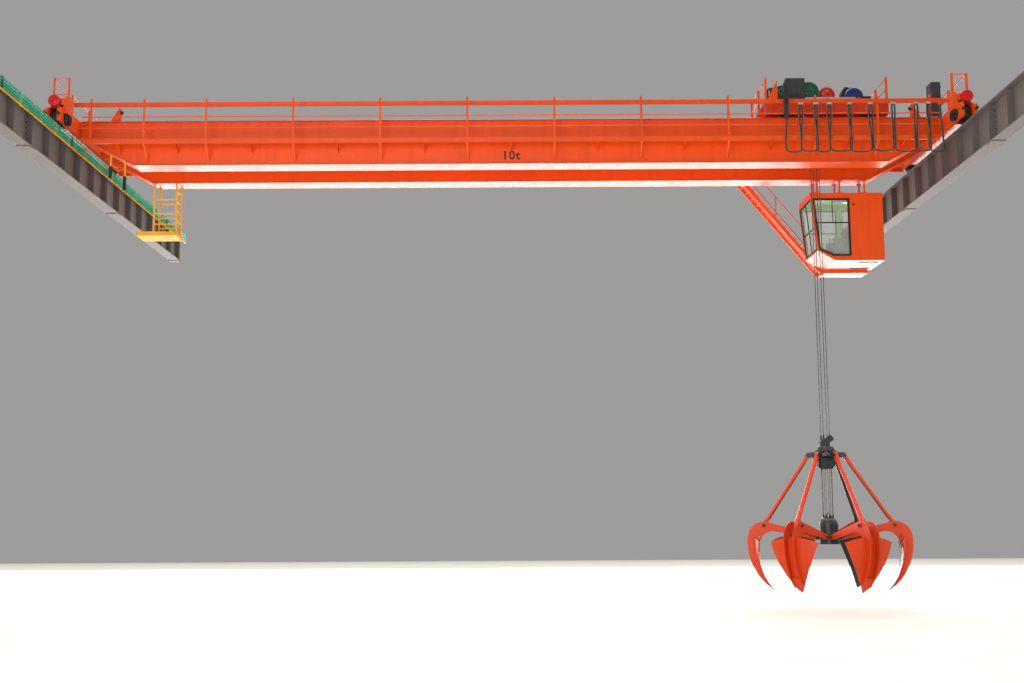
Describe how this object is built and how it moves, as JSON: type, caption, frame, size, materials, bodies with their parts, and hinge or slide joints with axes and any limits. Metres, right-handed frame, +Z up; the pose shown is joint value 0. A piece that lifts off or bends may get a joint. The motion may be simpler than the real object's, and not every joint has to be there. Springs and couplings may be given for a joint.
{
  "type": "overhead travelling grab crane",
  "caption": "Double-girder overhead crane on its runway beams, with a four-rope orange-peel grab, an operator's cab, walkways and a festoon line.",
  "frame": {"origin": "underside of the left runway beam, at the centre of the column seat nearest the crane", "axes": "+X across the span to the right runway, +Y along the runway away from the viewer, +Z up"},
  "size_m": [26.076, 22.9, 15.0126],
  "materials": {
    "orange_paint": "satin orange-red enamel",
    "dark_red_paint": "satin dark red enamel",
    "runway_paint": "matt brown-grey primer",
    "rail_steel": "rolled steel, worn bright on the head",
    "wheel_steel": "dark cast steel",
    "conductor_green": "green insulated conductor bar",
    "yellow_paint": "satin yellow enamel",
    "red_drive_paint": "gloss red enamel",
    "green_gear_paint": "gloss dark green enamel",
    "blue_motor_paint": "gloss blue enamel",
    "cabinet_grey": "textured dark grey powder coat",
    "tow_arm_black": "matt black paint",
    "grab_black": "satin black paint",
    "drum_paint": "red enamel, greased grooves",
    "wire_rope": "greased steel wire",
    "cab_glass": "clear safety glass",
    "console_plastic": "grey textured plastic",
    "cable_rubber": "black rubber sheath",
    "carrier_zinc": "zinc plated"
  },
  "bodies": {
    "runway": {"runway_beams": "runway_paint", "runway_rails": "rail_steel", "conductor_line": "conductor_green"},
    "bridge": {"front_girder": "orange_paint", "rear_girder": "orange_paint", "trolley_rails": "rail_steel", "end_carriages": "orange_paint", "front_walkway": "orange_paint", "rear_walkway": "orange_paint", "girder_handrails": "orange_paint", "end_handrails": "orange_paint", "festoon_beam": "orange_paint", "travel_drives": "red_drive_paint", "bridge_cabinet": "cabinet_grey", "collector_arms": "yellow_paint", "maintenance_cage": "yellow_paint", "cab_shell": "orange_paint", "cab_glass": "cab_glass", "cab_console": "console_plastic", "cab_stair": "orange_paint", "festoon_cables": "cable_rubber"},
    "front_bridge_wheels": {"front_bridge_wheels": "wheel_steel"},
    "rear_bridge_wheels": {"rear_bridge_wheels": "wheel_steel"},
    "trolley": {"trolley_frame": "dark_red_paint", "hoist_reducers": "green_gear_paint", "drum_pedestals": "dark_red_paint", "hoist_motors": "blue_motor_paint", "hoist_brakes": "red_drive_paint", "trolley_cabinet": "cabinet_grey", "trolley_handrails": "orange_paint", "tow_arm": "tow_arm_black", "trolley_travel_drive": "tow_arm_black", "hoist_ropes": "wire_rope"},
    "trolley_drive_axle": {"trolley_drive_axle": "wheel_steel"},
    "trolley_idle_axle": {"trolley_idle_axle": "wheel_steel"},
    "holding_drum": {"holding_drum": "drum_paint"},
    "closing_drum": {"closing_drum": "drum_paint"},
    "grab_head": {"grab_head": "grab_black", "closing_falls": "wire_rope"},
    "lower_block": {"lower_block": "grab_black"},
    "tine_1": {"tine_1": "orange_paint"},
    "tine_2": {"tine_2": "orange_paint"},
    "tine_3": {"tine_3": "orange_paint"},
    "tine_4": {"tine_4": "orange_paint"},
    "tine_5": {"tine_5": "orange_paint"},
    "tine_6": {"tine_6": "orange_paint"},
    "rod_1": {"rod_1": "orange_paint"},
    "rod_2": {"rod_2": "orange_paint"},
    "rod_3": {"rod_3": "orange_paint"},
    "rod_4": {"rod_4": "orange_paint"},
    "rod_5": {"rod_5": "orange_paint"},
    "rod_6": {"rod_6": "orange_paint"},
    "festoon_carrier_1": {"festoon_carrier_1": "carrier_zinc"},
    "festoon_carrier_2": {"festoon_carrier_2": "carrier_zinc"},
    "festoon_carrier_3": {"festoon_carrier_3": "carrier_zinc"},
    "festoon_carrier_4": {"festoon_carrier_4": "carrier_zinc"},
    "festoon_carrier_5": {"festoon_carrier_5": "carrier_zinc"},
    "festoon_carrier_6": {"festoon_carrier_6": "carrier_zinc"},
    "festoon_carrier_7": {"festoon_carrier_7": "carrier_zinc"},
    "festoon_carrier_8": {"festoon_carrier_8": "carrier_zinc"}
  },
  "joints": [
    {"name": "bridge_travel", "type": "slide", "parent": "runway", "child": "bridge", "axis": [0, 1, 0], "range_m": [-8.5, 6.5]},
    {"name": "trolley_travel", "type": "slide", "parent": "bridge", "child": "trolley", "axis": [1, 0, 0], "range_m": [-18.7, 0.5], "deforming": ["festoon_cables"]},
    {"name": "hoist", "type": "slide", "parent": "trolley", "child": "grab_head", "axis": [0, 0, 1], "range_m": [-0.5, 5], "deforming": ["hoist_ropes"]},
    {"name": "grab_close", "type": "slide", "parent": "grab_head", "child": "lower_block", "axis": [0, 0, 1], "range_m": [0, 1.08], "deforming": ["closing_falls"]},
    {"name": "front_wheel_spin", "type": "hinge", "parent": "bridge", "child": "front_bridge_wheels", "pos_m": [0, -5.3, 1.4703], "axis": [-1, 0, 0], "range_deg": [-1948.08, 1489.71]},
    {"name": "rear_wheel_spin", "type": "hinge", "parent": "bridge", "child": "rear_bridge_wheels", "pos_m": [0, -0.3, 1.4703], "axis": [-1, 0, 0], "range_deg": [-1948.08, 1489.71]},
    {"name": "drive_axle_spin", "type": "hinge", "parent": "trolley", "child": "trolley_drive_axle", "pos_m": [20.8, -2.8, 2.0653], "axis": [0, 1, 0], "range_deg": [-6122.48, 163.72]},
    {"name": "idle_axle_spin", "type": "hinge", "parent": "trolley", "child": "trolley_idle_axle", "pos_m": [23.2, -2.8, 2.0653], "axis": [0, 1, 0], "range_deg": [-6122.48, 163.72]},
    {"name": "holding_drum_spin", "type": "hinge", "parent": "trolley", "child": "holding_drum", "pos_m": [21.55, -2.8, 2.72], "axis": [0, -1, 0], "range_deg": [-135.15, 1351.34]},
    {"name": "closing_drum_spin", "type": "hinge", "parent": "trolley", "child": "closing_drum", "pos_m": [22.15, -2.8, 2.72], "axis": [0, 1, 0], "range_deg": [-135.15, 1351.34]},
    {"name": "tine_1_swing", "type": "hinge", "parent": "lower_block", "child": "tine_1", "pos_m": [22.2217, -2.87901, -10.28], "axis": [0.2079, 0.9781, 0], "range_deg": [0, 49.73]},
    {"name": "tine_2_swing", "type": "hinge", "parent": "lower_block", "child": "tine_2", "pos_m": [22.10427, -2.51761, -10.28], "axis": [-0.7431, 0.6691, 0], "range_deg": [0, 49.73]},
    {"name": "tine_3_swing", "type": "hinge", "parent": "lower_block", "child": "tine_3", "pos_m": [21.73257, -2.4386, -10.28], "axis": [-0.9511, -0.309, 0], "range_deg": [0, 49.73]},
    {"name": "tine_4_swing", "type": "hinge", "parent": "lower_block", "child": "tine_4", "pos_m": [21.4783, -2.72099, -10.28], "axis": [-0.2079, -0.9781, 0], "range_deg": [0, 49.73]},
    {"name": "tine_5_swing", "type": "hinge", "parent": "lower_block", "child": "tine_5", "pos_m": [21.59573, -3.08239, -10.28], "axis": [0.7431, -0.6691, 0], "range_deg": [0, 49.73]},
    {"name": "tine_6_swing", "type": "hinge", "parent": "lower_block", "child": "tine_6", "pos_m": [21.96743, -3.1614, -10.28], "axis": [0.9511, 0.309, 0], "range_deg": [0, 49.73]},
    {"name": "rod_1_swing", "type": "hinge", "parent": "grab_head", "child": "rod_1", "pos_m": [22.33907, -2.90396, -7.93], "axis": [0.2079, 0.9781, 0], "range_deg": [0, 6.97]},
    {"name": "rod_2_swing", "type": "hinge", "parent": "grab_head", "child": "rod_2", "pos_m": [22.18456, -2.42843, -7.93], "axis": [-0.7431, 0.6691, 0], "range_deg": [0, 6.97]},
    {"name": "rod_3_swing", "type": "hinge", "parent": "grab_head", "child": "rod_3", "pos_m": [21.69549, -2.32447, -7.93], "axis": [-0.9511, -0.309, 0], "range_deg": [0, 6.97]},
    {"name": "rod_4_swing", "type": "hinge", "parent": "grab_head", "child": "rod_4", "pos_m": [21.36093, -2.69604, -7.93], "axis": [-0.2079, -0.9781, 0], "range_deg": [0, 6.97]},
    {"name": "rod_5_swing", "type": "hinge", "parent": "grab_head", "child": "rod_5", "pos_m": [21.51544, -3.17157, -7.93], "axis": [0.7431, -0.6691, 0], "range_deg": [0, 6.97]},
    {"name": "rod_6_swing", "type": "hinge", "parent": "grab_head", "child": "rod_6", "pos_m": [22.00451, -3.27553, -7.93], "axis": [0.9511, 0.309, 0], "range_deg": [0, 6.97]},
    {"name": "carrier_1_run", "type": "slide", "parent": "bridge", "child": "festoon_carrier_1", "axis": [1, 0, 0], "range_m": [-18.2172, 0.4881]},
    {"name": "carrier_2_run", "type": "slide", "parent": "bridge", "child": "festoon_carrier_2", "axis": [1, 0, 0], "range_m": [-16.8592, 0.4518]},
    {"name": "carrier_3_run", "type": "slide", "parent": "bridge", "child": "festoon_carrier_3", "axis": [1, 0, 0], "range_m": [-15.146, 0.4059]},
    {"name": "carrier_4_run", "type": "slide", "parent": "bridge", "child": "festoon_carrier_4", "axis": [1, 0, 0], "range_m": [-11.8288, 0.3173]},
    {"name": "carrier_5_run", "type": "slide", "parent": "bridge", "child": "festoon_carrier_5", "axis": [1, 0, 0], "range_m": [-8.1642, 0.2193]},
    {"name": "carrier_6_run", "type": "slide", "parent": "bridge", "child": "festoon_carrier_6", "axis": [1, 0, 0], "range_m": [-4.3382, 0.117]},
    {"name": "carrier_7_run", "type": "slide", "parent": "bridge", "child": "festoon_carrier_7", "axis": [1, 0, 0], "range_m": [-1.3978, 0.0383]},
    {"name": "carrier_8_run", "type": "slide", "parent": "bridge", "child": "festoon_carrier_8", "axis": [1, 0, 0], "range_m": [-0.4015, 0.0117]}
  ],
  "couplings": [
    {"joint": "front_wheel_spin", "follows": "bridge_travel", "rad_per_m": 4},
    {"joint": "rear_wheel_spin", "follows": "bridge_travel", "rad_per_m": 4},
    {"joint": "drive_axle_spin", "follows": "trolley_travel", "rad_per_m": 5.7143},
    {"joint": "idle_axle_spin", "follows": "trolley_travel", "rad_per_m": 5.7143},
    {"joint": "holding_drum_spin", "follows": "hoist", "rad_per_m": 4.717},
    {"joint": "closing_drum_spin", "follows": "hoist", "rad_per_m": 4.717},
    {"joint": "tine_1_swing", "follows": "grab_close", "rad_per_m": 0.80334},
    {"joint": "tine_2_swing", "follows": "grab_close", "rad_per_m": 0.80334},
    {"joint": "tine_3_swing", "follows": "grab_close", "rad_per_m": 0.80334},
    {"joint": "tine_4_swing", "follows": "grab_close", "rad_per_m": 0.80334},
    {"joint": "tine_5_swing", "follows": "grab_close", "rad_per_m": 0.80334},
    {"joint": "tine_6_swing", "follows": "grab_close", "rad_per_m": 0.80334},
    {"joint": "rod_1_swing", "follows": "grab_close", "rad_per_m": 0.11232},
    {"joint": "rod_2_swing", "follows": "grab_close", "rad_per_m": 0.11232},
    {"joint": "rod_3_swing", "follows": "grab_close", "rad_per_m": 0.11232},
    {"joint": "rod_4_swing", "follows": "grab_close", "rad_per_m": 0.11232},
    {"joint": "rod_5_swing", "follows": "grab_close", "rad_per_m": 0.11232},
    {"joint": "rod_6_swing", "follows": "grab_close", "rad_per_m": 0.11232},
    {"joint": "carrier_1_run", "follows": "trolley_travel", "ratio": 0.97413},
    {"joint": "carrier_2_run", "follows": "trolley_travel", "ratio": 0.90151},
    {"joint": "carrier_3_run", "follows": "trolley_travel", "ratio": 0.80989},
    {"joint": "carrier_4_run", "follows": "trolley_travel", "ratio": 0.6325},
    {"joint": "carrier_5_run", "follows": "trolley_travel", "ratio": 0.43654},
    {"joint": "carrier_6_run", "follows": "trolley_travel", "ratio": 0.23193},
    {"joint": "carrier_7_run", "follows": "trolley_travel", "ratio": 0.074695},
    {"joint": "carrier_8_run", "follows": "trolley_travel", "ratio": 0.021416}
  ]
}
